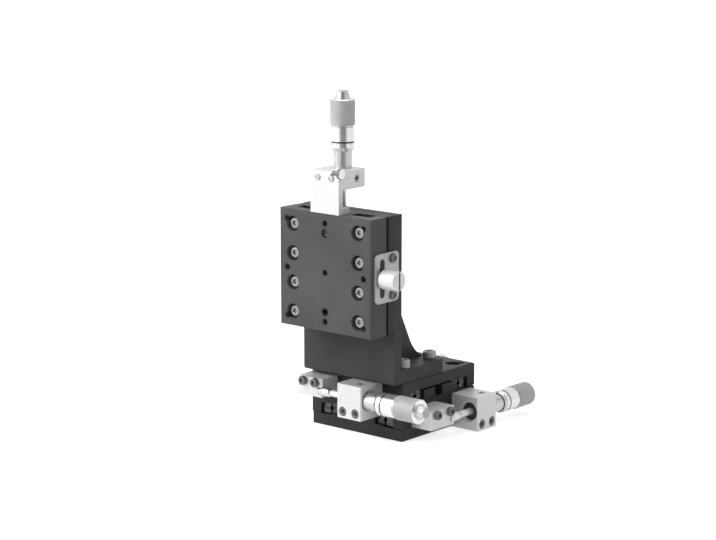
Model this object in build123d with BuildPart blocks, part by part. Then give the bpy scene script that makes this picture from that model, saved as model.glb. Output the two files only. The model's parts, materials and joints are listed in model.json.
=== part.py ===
from build123d import *
import math
import os

# XYZ translation stage: three crossed-roller slides, a micrometer head on each.
# Millimetres. Origin at the centre of the base plate's underside, +Z up,
# +X to the right of the vertical stage's front face, which faces -Y.

# Slide blocks
table_size = 60.0
plate_thickness = 6.0
block_thickness = 11.8
running_gap = 0.3
edge_chamfer = 0.6
travel = 6.5

# Crossed-roller rails
rail_width = 5.5
rail_height = 5.5
rail_inset = 1.5
rail_gap = 1.0
rail_side_wall = 6.0
roller_diameter = 2.0
roller_clearance = 0.02
roller_end_clearance = 0.05
rollers_per_cage = 7
roller_pitch = 6.0
cage_thickness = 0.6
cage_height = 4.6
cage_corner = 0.9
cage_end_margin = 2.4
window_clearance = 0.15
rail_land = 0.5
ceiling_relief = 0.5
rail_screw_edge = 7.5
rail_screws_per_rail = 4
buried_screws_per_rail = 2
boss_clearance = 1.0

# Rail screws, M3 through the block into the outer rail
outer_screw_diameter = 3.0
outer_head_diameter = 5.7
outer_head_height = 2.8
outer_counterbore_diameter = 8.0
outer_counterbore_depth = 4.2
outer_thread_reach = 4.6
screw_clearance = 0.1
socket_per_head = 0.5
socket_depth_per_head = 0.6

# Mounting holes
hole_edge = 5.0
tapped_diameter = 3.3
tapped_depth = 5.0
mount_screw_diameter = 4.0
mount_hole_diameter = 4.5
mount_head_diameter = 7.0
mount_head_height = 4.0
mount_counterbore_diameter = 8.0
mount_counterbore_depth = 4.2
plate_screw_reach = 4.4

# Return spring
spring_diameter = 4.6
spring_wire = 0.6
spring_groove_width = 6.0
groove_floor = 0.5
wire_end_diameter = 1.2
wire_hole_depth = 2.0
spring_span = 30.0
spring_inset = 12.0
coil_inset = 2.0
coil_stand_off = 1.0
drawbar_length = 17.0

# Micrometer head
spindle_diameter = 3.5
spindle_fit = 0.05
stem_diameter = 9.3
stem_fit = 0.04
thimble_fit = 0.1
thimble_diameter = 11.7
thimble_front_diameter = 10.1
thimble_bevel = 1.6
scale_length = 12.6
grip_diameter = 12.4
grip_length = 13.2
grip_chamfer = 0.5
cap_diameter = 5.6
cap_length = 4.0
tip_to_thimble = 32.2
sleeve_overlap = 9.0
thimble_bore_depth = 17.5
spindle_seat_depth = 3.0
tip_chamfer = 0.3

# Micrometer brackets on the X and Y slides
bracket_length = 15.8
bracket_depth = 17.5
bracket_height = 17.6
bracket_chamfer = 0.5
axis_offset = 11.5
axis_height = 9.6
stem_recess = 6.0
stem_mouth_diameter = 10.8
stem_mouth_depth = 1.2
x_bracket_start = 1.7
y_bracket_start = 10.2
bracket_screw_inset = 3.8
bracket_screw_height = 3.3
bracket_counterbore_depth = 2.6
bracket_relief = 0.5
set_screw_diameter = 4.0
set_screw_from_back = 5.0
set_screw_socket = 2.0

# Anvils on the X and Y slides
anvil_depth = 12.8
anvil_height = 9.8
x_anvil_edge = 1.2
x_anvil_length = 16.4
y_anvil_edge = 7.7
y_anvil_length = 19.0
anvil_screw_inset = 4.2
anvil_screw_height = 7.6
button_diameter = 4.6
button_socket_depth = 3.0
button_fit = 0.02
x_tip_position = -7.2
y_tip_position = 2.6
tip_gap = 0.02

# Side screws, M2.5 cap screws
side_screw_diameter = 2.5
side_head_diameter = 4.8
side_head_height = 2.2
side_screw_reach = 3.2

# Travel locks
lock_plate_length = 25.0
lock_plate_thickness = 1.2
lock_plate_top = 16.0
lock_plate_low = 0.6
z_lock_plate_low = -2.0
lock_corner = 2.5
slot_length = 19.6
slot_width = 3.7
slot_height = 10.8
lock_screw_spacing = 18.6
lock_screw_height = 2.8
lock_head_height = 1.2
knob_diameter = 10.0
knob_length = 10.0
knob_neck_diameter = 7.0
knob_neck_length = 1.0
knob_stud_diameter = 3.0
knob_stud_reach = 5.0
knob_chamfer = 0.5
knob_slot_width = 1.2
knob_slot_depth = 1.0

# Angle bracket and vertical stage
upright_thickness = 5.8
foot_thickness = 7.2
foot_length = 39.5
upright_overhang = 6.5
stage_above_table = 57.0
rib_thickness = 6.0
rib_outer = 18.0
rib_height = 54.6
rib_bend_height = 10.7
rib_bend_from_end = 10.4
rib_end_margin = 1.8
front_screw_edge = 3.8
front_screw_from_face = 11.9
rear_screw_edge = 5.6
rear_screw_from_face = 35.7
foot_screw_reach = 5.0
angle_chamfer = 0.8

# Vertical micrometer bracket
z_axis_from_mount = 4.2
z_post_width = 18.4
z_post_thickness = 3.1
z_post_height = 12.2
z_clamp_height = 9.2
z_clamp_back = 1.9
z_tongue_length = 15.0
z_tongue_thickness = 2.6
z_tongue_gap = 0.02
z_tip_notch_depth = 2.0
z_tip_notch_width = 5.0
z_tongue_screw_edge = 10.0
z_tongue_screw_diameter = 2.5
z_tongue_head_diameter = 4.3
z_tongue_head_height = 1.8
z_tongue_counterbore_diameter = 4.6
z_tongue_counterbore_depth = 3.4
z_clamp_screw_spacing = 8.8
z_clamp_screw_diameter = 2.5
z_clamp_head_diameter = 3.4
z_clamp_head_height = 0.8
z_clamp_screw_drop = 3.4
z_set_screw_drop = 4.4

# Sizes worked out from the ones above
half = table_size / 2
hole_pitch = table_size - 2 * hole_edge
rail_length = table_size - 2 * rail_inset
roller_track = half - rail_side_wall - rail_width - rail_gap / 2
rail_screw_pitch = (table_size - 2 * rail_screw_edge) / (rail_screws_per_rail - 1)
buried_screw_pitch = (table_size - 2 * rail_screw_edge) / (buried_screws_per_rail - 1)
x_anvil_start = x_anvil_edge - half
y_anvil_start = y_anvil_edge - half
z_tongue_screw = half - z_tongue_screw_edge
stage_height = plate_thickness + running_gap + block_thickness
stage_pitch = stage_height - plate_thickness
table_top = stage_pitch + stage_height
block_floor = plate_thickness + running_gap
rail_floor = plate_thickness + rail_land
rail_top = rail_floor + rail_height
rail_middle = rail_floor + rail_height / 2
ceiling = rail_top + ceiling_relief
boss_top = ceiling - boss_clearance
inner_rail_inside = roller_track - rail_gap / 2 - rail_width
outer_rail_outside = roller_track + rail_gap / 2 + rail_width
outer_screw_line = roller_track + rail_gap / 2 + rail_width / 2
groove_bottom = plate_thickness + groove_floor
spring_height = (groove_bottom + boss_top) / 2
front_of_angle = -half - upright_overhang
z_centre = table_top + stage_above_table
thimble_length = scale_length + grip_length
track_half_diagonal = (roller_diameter / 2 + roller_clearance) * math.sqrt(2)
cage_length = (rollers_per_cage - 1) * roller_pitch + roller_diameter + 2 * cage_end_margin

# A slide's own frame: local x along the travel, local z out from its mounting face
y_frame = Plane(origin=(0, 0, 0), x_dir=(0, 1, 0), z_dir=(0, 0, 1))
x_frame = Plane(origin=(0, 0, stage_pitch), x_dir=(1, 0, 0), z_dir=(0, 0, 1))
z_frame = Plane(origin=(0, front_of_angle, z_centre), x_dir=(0, 0, 1), z_dir=(0, -1, 0))

os.makedirs("parts", exist_ok=True)


def save(builder, label):
    """Label a finished sub-part and write it."""
    builder.part.label = label
    export_step(builder.part, f"parts/{label}.step")


def place(frame, along, across, height, outward=None):
    """A plane at a point given in the slide's frame, facing outward."""
    origin = frame.from_local_coords((along, across, height))
    return Plane(origin=origin, x_dir=frame.x_dir, z_dir=outward or frame.z_dir)


def cross_section(frame, along, across=0, height=0):
    """The plane square to the travel: local x across it, local y out from the mounting face."""
    origin = frame.from_local_coords((along, across, height))
    return Plane(origin=origin, x_dir=frame.y_dir, z_dir=frame.x_dir)


def half_plane(axis_plane):
    """The plane through an axis: local x out from the axis, local y along it."""
    normal = axis_plane.x_dir.cross(axis_plane.z_dir)
    return Plane(origin=axis_plane.origin, x_dir=axis_plane.x_dir, z_dir=normal)


def turned(axis_plane, outline):
    """Revolve an outline of (radius, distance along the axis) points inside the open builder."""
    with BuildSketch(half_plane(axis_plane)) as profile:
        Polygon(*outline, align=None)
    revolve(profile.sketch, axis=Axis(axis_plane.origin, axis_plane.z_dir))


# Blocks

def block_outline():
    """Half section of the moving block: a channel with a seat for the outer rail."""
    seat = roller_track + rail_gap / 2
    return [
        (0, ceiling), (seat, ceiling), (seat, rail_top), (outer_rail_outside, rail_top),
        (outer_rail_outside, block_floor), (half, block_floor), (half, stage_height), (0, stage_height),
    ]


def boss_outline(boss_height):
    """Half section of the raised middle of a fixed plate, with its spring groove and rail land."""
    return [
        (0, plate_thickness), (0, groove_bottom), (spring_groove_width / 2, groove_bottom),
        (spring_groove_width / 2, boss_height), (inner_rail_inside, boss_height),
        (inner_rail_inside, rail_floor), (roller_track - rail_gap / 2, rail_floor),
        (roller_track - rail_gap / 2, plate_thickness),
    ]


def add_section(frame, outline, length=table_size):
    """Extrude a mirrored half section about the slide's middle inside the open builder."""
    with BuildSketch(cross_section(frame, -length / 2)) as section:
        Polygon(*outline, align=None)
        mirror(about=Plane.YZ)
    extrude(section.sketch, amount=length)


def add_channel(frame):
    """The moving block's channel with its long edges broken."""
    add_section(frame, block_outline())
    top = place(frame, 0, 0, stage_height)
    rim = [edge for edge in edges() if abs(top.to_local_coords(edge.center()).Z) < 0.01]
    chamfer(rim, edge_chamfer)


def cut_outer_screw_holes(frame, pitch, count):
    """Counterbored holes for the outer rails' screws."""
    with Locations(frame.offset(stage_height)):
        with GridLocations(pitch, 2 * outer_screw_line, count, 2):
            CounterBoreHole(
                radius=outer_screw_diameter / 2 + screw_clearance,
                counter_bore_radius=outer_counterbore_diameter / 2,
                counter_bore_depth=outer_counterbore_depth,
                depth=stage_height,
            )


def cut_tapped_holes(frame, rows):
    """Tapped holes in a table face, three to a row, in rows at the given places across."""
    for across in rows:
        for along in (-hole_pitch / 2, 0, hole_pitch / 2):
            cut_hole(place(frame, along, across, stage_height), tapped_diameter, tapped_depth)


def cut_hole(plane, diameter, depth):
    """A plain round hole going in from a plane's face."""
    with BuildSketch(plane) as hole:
        Circle(diameter / 2)
    extrude(hole.sketch, amount=-depth, mode=Mode.SUBTRACT)


def spread(count, pitch):
    """Places along a rail, spread about its middle."""
    first = -(count - 1) / 2 * pitch
    return [first + index * pitch for index in range(count)]


def cut_side_holes(frame, side, places):
    """Tapped holes in a side face, from (along, height) places."""
    outward = frame.y_dir * side
    for along, height in places:
        cut_hole(place(frame, along, side * half, height, outward), side_screw_diameter, side_screw_reach)


def cut_stud_hole(frame, side):
    """The hole for a lock knob's stud in the moving block's side."""
    outward = frame.y_dir * side
    cut_hole(place(frame, 0, side * half, slot_height, outward), knob_stud_diameter, knob_stud_reach)


def side_seats(frame, side, places, stand_off):
    """Planes under the heads of side screws that stand off from a side face."""
    outward = frame.y_dir * side
    return [place(frame, along, side * (half + stand_off), height, outward) for along, height in places]


def bracket_screw_places(start):
    """Places of a micrometer bracket's two screws."""
    low = start + bracket_screw_inset
    high = start + bracket_length - bracket_screw_inset
    return [(low, bracket_screw_height), (high, bracket_screw_height)]


def anvil_screw_places(start, length):
    """Places of an anvil's two screws."""
    height = block_floor + anvil_screw_height
    return [(start + anvil_screw_inset, height), (start + length - anvil_screw_inset, height)]


def lock_screw_places():
    """Places of a lock plate's two screws."""
    return [(-lock_screw_spacing / 2, lock_screw_height), (lock_screw_spacing / 2, lock_screw_height)]


def spring_ends(pull):
    """Places of the spring's fixed and moving ends; pull is the way the moving end is drawn."""
    fixed = pull * (half - spring_inset)
    return fixed, fixed - pull * spring_span


def cut_fixed_wire_hole(frame, pull):
    """The hole for a spring's fixed end, in the floor of the spring groove."""
    fixed, _ = spring_ends(pull)
    cut_hole(place(frame, fixed, 0, groove_bottom), wire_end_diameter, wire_hole_depth)


def cut_moving_wire_hole(frame, pull):
    """The hole for a spring's moving end, in the moving block's ceiling."""
    _, moving = spring_ends(pull)
    cut_hole(place(frame, moving, 0, ceiling, -frame.z_dir), wire_end_diameter, wire_hole_depth)


def cut_fixed_plate_holes(frame):
    """Counterbored mounting holes in a fixed plate's four corners."""
    with Locations(frame.offset(plate_thickness)):
        with GridLocations(hole_pitch, hole_pitch, 2, 2):
            CounterBoreHole(
                radius=mount_hole_diameter / 2,
                counter_bore_radius=mount_counterbore_diameter / 2,
                counter_bore_depth=mount_counterbore_depth,
                depth=plate_thickness,
            )


def add_fixed_plate(frame):
    """The fixed plate with its middle boss and mounting holes."""
    with BuildSketch(frame) as outline:
        Rectangle(table_size, table_size)
    extrude(outline.sketch, amount=plate_thickness)
    upright_edges = [edge for edge in edges() if abs(edge.length - plate_thickness) < 0.01]
    chamfer(upright_edges, edge_chamfer)
    add_section(frame, boss_outline(boss_top))
    cut_fixed_plate_holes(frame)


def base_plate():
    """Bottom plate: the fixed part of the Y slide."""
    with BuildPart() as plate:
        add_fixed_plate(y_frame)
        cut_fixed_wire_hole(y_frame, 1)
        cut_side_holes(y_frame, -1, bracket_screw_places(y_bracket_start))
        cut_side_holes(y_frame, 1, lock_screw_places())
    save(plate, "base_plate")


def middle_block():
    """Moving block of the Y slide, and the fixed boss of the X slide on its top."""
    with BuildPart() as block:
        add_channel(y_frame)
        add_section(x_frame, boss_outline(boss_top))
        cut_outer_screw_holes(y_frame, buried_screw_pitch, buried_screws_per_rail)
        cut_moving_wire_hole(y_frame, 1)
        cut_fixed_wire_hole(x_frame, 1)
        cut_side_holes(x_frame, -1, bracket_screw_places(x_bracket_start))
        cut_side_holes(x_frame, 1, lock_screw_places())
        cut_side_holes(y_frame, -1, anvil_screw_places(y_anvil_start, y_anvil_length))
        cut_stud_hole(y_frame, 1)
    save(block, "middle_block")


def top_table():
    """Moving block of the X slide, which carries the angle bracket."""
    with BuildPart() as block:
        add_channel(x_frame)
        cut_tapped_holes(x_frame, [hole_pitch / 2])
        cut_outer_screw_holes(x_frame, rail_screw_pitch, rail_screws_per_rail)
        cut_moving_wire_hole(x_frame, 1)
        cut_side_holes(x_frame, -1, anvil_screw_places(x_anvil_start, x_anvil_length))
        cut_stud_hole(x_frame, 1)
        for seat in foot_screw_seats():
            cut_hole(seat.offset(-foot_thickness), mount_screw_diameter, foot_screw_reach)
    save(block, "top_table")


def z_fixed_plate():
    """Fixed plate of the vertical slide, notched for the micrometer's tip and the bracket's tongue."""
    tongue_low = half - z_tongue_length - travel - 2 * running_gap
    with BuildPart() as plate:
        add_fixed_plate(z_frame)
        cut_fixed_wire_hole(z_frame, -1)
        cut_side_holes(z_frame, -1, lock_screw_places())
        with BuildSketch(z_frame.offset(ceiling - z_tongue_thickness - 2 * running_gap)):
            with Locations(((tongue_low + half) / 2, 0)):
                Rectangle(half - tongue_low, z_post_width + 2 * running_gap)
        extrude(amount=z_tongue_thickness, mode=Mode.SUBTRACT)
        with BuildSketch(z_frame.offset(z_axis_from_mount - z_tip_notch_width / 2)):
            with Locations((half - z_tip_notch_depth / 2, 0)):
                Rectangle(z_tip_notch_depth, z_tip_notch_width)
        extrude(until=Until.LAST, mode=Mode.SUBTRACT)
    save(plate, "z_fixed_plate")


def z_slide_block():
    """Moving block of the vertical slide: its face is the stage's main mounting face."""
    with BuildPart() as block:
        add_channel(z_frame)
        cut_tapped_holes(z_frame, [-hole_pitch / 2, 0, hole_pitch / 2])
        cut_outer_screw_holes(z_frame, rail_screw_pitch, rail_screws_per_rail)
        for side in (-1, 1):
            with Locations(place(z_frame, side * z_tongue_screw, 0, stage_height)):
                CounterBoreHole(
                    radius=z_tongue_screw_diameter / 2 + screw_clearance,
                    counter_bore_radius=z_tongue_counterbore_diameter / 2,
                    counter_bore_depth=z_tongue_counterbore_depth,
                    depth=stage_height - ceiling,
                )
        cut_moving_wire_hole(z_frame, -1)
        cut_stud_hole(z_frame, -1)
    save(block, "z_slide_block")


# Rails, cages and rollers: the slides' working parts

def inner_rail_outline():
    """Section of the inner rail with its right-angled groove."""
    face = roller_track - rail_gap / 2
    reach = track_half_diagonal - rail_gap / 2
    return [
        (inner_rail_inside, rail_floor), (face, rail_floor), (face, rail_middle - reach),
        (face - reach, rail_middle), (face, rail_middle + reach), (face, rail_top),
        (inner_rail_inside, rail_top),
    ]


def outer_rail_outline():
    """Section of the outer rail: the inner one turned about the roller track."""
    return [(2 * roller_track - across, height) for across, height in inner_rail_outline()]


def rails(axis, frame, screw_places):
    """The fixed inner pair and the moving outer pair of one slide."""
    with BuildPart() as inner:
        add_section(frame, inner_rail_outline(), rail_length)
    save(inner, f"{axis}_inner_rails")
    with BuildPart() as outer:
        add_section(frame, outer_rail_outline(), rail_length)
        for side in (-1, 1):
            for along in screw_places:
                mouth = place(frame, along, side * outer_screw_line, rail_top)
                cut_hole(mouth, outer_screw_diameter, rail_height)
    save(outer, f"{axis}_outer_rails")


def roller_cages(axis, frame):
    """Two thin cages, and their rollers, which lean to either side in turn."""
    window_length = roller_diameter + 2 * window_clearance
    window_height = 2 * track_half_diagonal + 2 * window_clearance
    roller_length = roller_diameter - 2 * roller_end_clearance
    roller_places = spread(rollers_per_cage, roller_pitch)
    with BuildPart() as cages:
        for side in (-1, 1):
            inside = side * (roller_track - cage_thickness / 2)
            strip = place(frame, 0, inside, rail_middle, frame.y_dir * side)
            with BuildSketch(strip) as outline:
                Rectangle(cage_length, cage_height)
                fillet(outline.vertices(), cage_corner)
                with Locations(*[(along, 0) for along in roller_places]):
                    Rectangle(window_length, window_height, mode=Mode.SUBTRACT)
            extrude(amount=cage_thickness)
    save(cages, f"{axis}_cages")
    with BuildPart() as rollers:
        for side in (-1, 1):
            for index, along in enumerate(roller_places):
                lean = 1 if index % 2 == 0 else -1
                axis_direction = (frame.y_dir * lean + frame.z_dir).normalized()
                with BuildSketch(place(frame, along, side * roller_track, rail_middle, axis_direction)):
                    Circle(roller_diameter / 2)
                extrude(amount=roller_length / 2, both=True)
    save(rollers, f"{axis}_rollers")


def cap_screws(label, groups):
    """Socket cap screws from (seat planes, shank, head, head height, reach) groups."""
    with BuildPart() as screws:
        for seats, shank, head, head_height, reach in groups:
            for seat in seats:
                with BuildSketch(seat):
                    Circle(head / 2)
                extrude(amount=head_height)
                with BuildSketch(seat):
                    Circle(shank / 2)
                extrude(amount=-reach)
                with BuildSketch(seat.offset(head_height)):
                    RegularPolygon(head * socket_per_head / 2, 6)
                extrude(amount=-head_height * socket_depth_per_head, mode=Mode.SUBTRACT)
    save(screws, label)


def rail_screws(axis, frame, screw_places):
    """Screws of one slide's outer rails."""
    seat_height = stage_height - outer_counterbore_depth
    seats = []
    for side in (-1, 1):
        for along in screw_places:
            seats.append(place(frame, along, side * outer_screw_line, seat_height))
    reach = seat_height - rail_top + outer_thread_reach
    thread = outer_screw_diameter - screw_clearance
    group = (seats, thread, outer_head_diameter, outer_head_height, reach)
    cap_screws(f"{axis}_outer_rail_screws", [group])


# Return springs

def add_wire(frame, along, hole_end, other_end):
    """A wire out of a block's hole, bent onto the spring's axis, inside the open builder."""
    lengthwise = Plane(origin=frame.origin, x_dir=frame.x_dir, z_dir=-frame.y_dir)
    with BuildLine(lengthwise) as path:
        Polyline((along, hole_end), (along, spring_height), (other_end, spring_height))
    with BuildSketch(Plane(origin=path.line @ 0, z_dir=path.line % 0)) as section:
        Circle(wire_end_diameter / 2)
    sweep(section.sketch, path=path.line, transition=Transition.RIGHT)


def spring(axis, frame, pull):
    """Return spring: a coil hooked into the fixed part, and the drawbar that slides in it."""
    fixed, moving = spring_ends(pull)
    closed_end = fixed - pull * coil_inset
    open_end = moving + pull * (travel + coil_stand_off)
    with BuildPart() as coil:
        with BuildSketch(cross_section(frame, open_end, 0, spring_height)):
            Circle(spring_diameter / 2)
            Circle(spring_diameter / 2 - spring_wire, mode=Mode.SUBTRACT)
        extrude(amount=closed_end - open_end)
        with BuildSketch(cross_section(frame, closed_end, 0, spring_height)):
            Circle(spring_diameter / 2)
        extrude(amount=-pull * spring_wire)
        add_wire(frame, fixed, groove_bottom - wire_hole_depth, closed_end)
    save(coil, f"{axis}_return_spring")
    with BuildPart() as drawbar:
        add_wire(frame, moving, ceiling + wire_hole_depth, moving + pull * drawbar_length)
    save(drawbar, f"{axis}_spring_drawbar")


# Micrometer heads

def micrometer(axis, tip, bracket_back, recess):
    """Sleeve, spindle and thimble on one axis; distances run from the spindle's tip."""
    sleeve_start = bracket_back - recess
    sleeve_end = tip_to_thimble + sleeve_overlap
    bore = spindle_diameter / 2 + spindle_fit
    with BuildPart() as sleeve:
        turned(tip, [
            (bore, sleeve_start), (stem_diameter / 2 - edge_chamfer, sleeve_start),
            (stem_diameter / 2, sleeve_start + edge_chamfer), (stem_diameter / 2, sleeve_end),
            (bore, sleeve_end),
        ])
    save(sleeve, f"{axis}_micrometer_sleeve")

    wall_start = tip_to_thimble + thimble_bore_depth
    with BuildPart() as spindle:
        turned(tip, [
            (0, 0), (spindle_diameter / 2 - tip_chamfer, 0), (spindle_diameter / 2, tip_chamfer),
            (spindle_diameter / 2, wall_start + spindle_seat_depth), (0, wall_start + spindle_seat_depth),
        ])
    save(spindle, f"{axis}_spindle")

    inner = stem_diameter / 2 + thimble_fit
    outer = thimble_diameter / 2
    grip = grip_diameter / 2
    front = tip_to_thimble
    grip_start = front + scale_length
    end = front + thimble_length
    with BuildPart() as thimble:
        turned(tip, [
            (inner, front), (thimble_front_diameter / 2, front), (outer, front + thimble_bevel),
            (outer, grip_start), (grip, grip_start), (grip, end - grip_chamfer), (grip - grip_chamfer, end),
            (cap_diameter / 2, end), (cap_diameter / 2, end + cap_length), (0, end + cap_length),
            (0, wall_start + spindle_seat_depth), (spindle_diameter / 2, wall_start + spindle_seat_depth),
            (spindle_diameter / 2, wall_start), (inner, wall_start),
        ])
    save(thimble, f"{axis}_thimble")


def side_bracket(axis, frame, start):
    """Micrometer bracket on a slide's side, relieved where the moving block passes it."""
    near = -half
    middle_along = start + bracket_length / 2
    middle_across = near - bracket_depth / 2
    with BuildPart() as bracket:
        with BuildSketch(frame) as outline:
            with Locations((middle_along, middle_across)):
                Rectangle(bracket_length, bracket_depth)
            outer_corners = outline.vertices().group_by(Axis.Y)[0]
            chamfer(outer_corners, bracket_chamfer)
        extrude(amount=bracket_height)
        with BuildSketch(frame.offset(plate_thickness)):
            with Locations((middle_along, near - bracket_relief / 2)):
                Rectangle(bracket_length, bracket_relief)
        extrude(amount=bracket_height, mode=Mode.SUBTRACT)
        with BuildSketch(cross_section(frame, start, near - axis_offset, axis_height)):
            Circle(stem_diameter / 2 + stem_fit)
        extrude(amount=bracket_length, mode=Mode.SUBTRACT)
        for along, way in ((start, 1), (start + bracket_length, -1)):
            with BuildSketch(cross_section(frame, along, near - axis_offset, axis_height)):
                Circle(stem_mouth_diameter / 2)
            extrude(amount=way * stem_mouth_depth, mode=Mode.SUBTRACT)
        set_screw_along = start + bracket_length - set_screw_from_back
        mouth = place(frame, set_screw_along, near - axis_offset, bracket_height)
        cut_hole(mouth, set_screw_diameter, axis_height / 2)
        outward = -frame.y_dir
        for along, height in bracket_screw_places(start):
            with Locations(place(frame, along, near - bracket_depth, height, outward)):
                CounterBoreHole(
                    radius=side_screw_diameter / 2 + screw_clearance,
                    counter_bore_radius=side_head_diameter / 2 + screw_clearance,
                    counter_bore_depth=bracket_counterbore_depth,
                    depth=bracket_depth,
                )
    save(bracket, f"{axis}_micrometer_bracket")


def anvil(axis, frame, start, length, tip_position):
    """Anvil block with its hardened button, on the moving block's side."""
    near = -half
    middle = start + length / 2
    with BuildPart() as block:
        with BuildSketch(frame.offset(block_floor)) as outline:
            with Locations((middle, near - anvil_depth / 2)):
                Rectangle(length, anvil_depth)
            outer_corners = outline.vertices().group_by(Axis.Y)[0]
            chamfer(outer_corners, bracket_chamfer)
        extrude(amount=anvil_height)
        with BuildSketch(cross_section(frame, start + length, near - axis_offset, axis_height)):
            Circle(button_diameter / 2)
        extrude(amount=-button_socket_depth, mode=Mode.SUBTRACT)
        outward = -frame.y_dir
        for along, height in anvil_screw_places(start, length):
            hole = side_screw_diameter + 2 * screw_clearance
            cut_hole(place(frame, along, near - anvil_depth, height, outward), hole, anvil_depth)
    save(block, f"{axis}_anvil_block")

    socket = start + length - button_socket_depth
    socket_floor = cross_section(frame, socket, near - axis_offset, axis_height)
    reach = tip_position - tip_gap - socket
    radius = button_diameter / 2 - button_fit
    with BuildPart() as button:
        turned(socket_floor, [
            (0, 0), (radius, 0), (radius, reach - edge_chamfer), (radius - edge_chamfer, reach), (0, reach),
        ])
    save(button, f"{axis}_anvil_button")


def set_screw(label, seat, length):
    """Headless screw with a hex socket, its outer end at the seat plane."""
    with BuildPart() as screw:
        with BuildSketch(seat):
            Circle(set_screw_diameter / 2 - screw_clearance / 2)
        extrude(amount=-length)
        with BuildSketch(seat):
            RegularPolygon(set_screw_socket / 2, 6)
        extrude(amount=-length / 2, mode=Mode.SUBTRACT)
    save(screw, label)


# Travel locks

def lock(axis, frame, side, plate_low):
    """Slotted plate on the fixed part, and the thumb knob that clamps the moving block to it."""
    outward = frame.y_dir * side
    corner_side = place(frame, 0, side * half, 0, outward)
    up = corner_side.to_local_coords(corner_side.origin + frame.z_dir).Y
    with BuildPart() as plate:
        with BuildSketch(corner_side):
            with Locations((0, up * (lock_plate_top + plate_low) / 2)):
                RectangleRounded(lock_plate_length, lock_plate_top - plate_low, lock_corner)
            with Locations((0, up * slot_height)):
                SlotOverall(slot_length, slot_width, mode=Mode.SUBTRACT)
            with Locations(*[(along, up * height) for along, height in lock_screw_places()]):
                Circle(side_screw_diameter / 2 + screw_clearance, mode=Mode.SUBTRACT)
        extrude(amount=lock_plate_thickness)
    save(plate, f"{axis}_lock_plate")

    seat = place(frame, 0, side * (half + lock_plate_thickness), slot_height, outward)
    stud = knob_stud_diameter / 2 - screw_clearance / 2
    stud_end = -lock_plate_thickness - knob_stud_reach + 2 * screw_clearance
    length = knob_neck_length + knob_length
    with BuildPart() as knob:
        turned(seat, [
            (0, stud_end), (stud, stud_end), (stud, 0), (knob_neck_diameter / 2, 0),
            (knob_neck_diameter / 2, knob_neck_length), (knob_diameter / 2 - knob_chamfer, knob_neck_length),
            (knob_diameter / 2, knob_neck_length + knob_chamfer), (knob_diameter / 2, length - knob_chamfer),
            (knob_diameter / 2 - knob_chamfer, length), (0, length),
        ])
        with BuildSketch(seat.offset(length)):
            Rectangle(knob_diameter, knob_slot_width)
        extrude(amount=-knob_slot_depth, mode=Mode.SUBTRACT)
    save(knob, f"{axis}_lock_knob")


# Angle bracket and the vertical stage's own bracket

def foot_screw_seats():
    """Seats of the screws that hold the angle bracket's foot to the table."""
    top = table_top + foot_thickness
    rows = [(front_screw_edge, front_screw_from_face), (rear_screw_edge, rear_screw_from_face)]
    seats = []
    for edge, from_face in rows:
        for side in (-1, 1):
            origin = (side * (half - edge), front_of_angle + from_face, top)
            seats.append(Plane(origin=origin, x_dir=(1, 0, 0), z_dir=(0, 0, 1)))
    return seats


def angle_bracket():
    """Angle bracket: foot, upright and two curved ribs between them."""
    back = front_of_angle + upright_thickness
    end = front_of_angle + foot_length
    foot_top = table_top + foot_thickness
    top = z_centre + half
    rib_end = end - rib_end_margin
    bend = (rib_end - rib_bend_from_end, foot_top + rib_bend_height)
    with BuildPart() as bracket:
        with BuildSketch(Plane.YZ.offset(-half)):
            Polygon(
                (front_of_angle, table_top), (end, table_top), (end, foot_top), (back, foot_top),
                (back, top), (front_of_angle, top), align=None,
            )
        extrude(amount=table_size)
        long_edges = bracket.edges().filter_by(Axis.X)
        front_edges = long_edges.filter_by_position(Axis.Y, front_of_angle, front_of_angle)
        chamfer(front_edges, angle_chamfer)
        for side in (-1, 1):
            inner_face = side * rib_outer - (rib_thickness if side > 0 else 0)
            with BuildSketch(Plane.YZ.offset(inner_face)):
                with BuildLine():
                    Polyline(bend, (back, foot_top + rib_height), (back, foot_top), (rib_end, foot_top))
                    slope = Vector(back - bend[0], foot_top + rib_height - bend[1])
                    TangentArc(bend, (rib_end, foot_top), tangent=-slope)
                make_face()
            extrude(amount=rib_thickness)
        for seat in foot_screw_seats():
            cut_hole(seat, mount_hole_diameter, foot_thickness)
        mount_face = Plane(origin=z_frame.origin, x_dir=(0, 0, 1), z_dir=(0, -1, 0))
        with Locations(mount_face):
            with GridLocations(hole_pitch, hole_pitch, 2, 2):
                Hole(mount_screw_diameter / 2, depth=upright_thickness)
    save(bracket, "angle_bracket")


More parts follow.
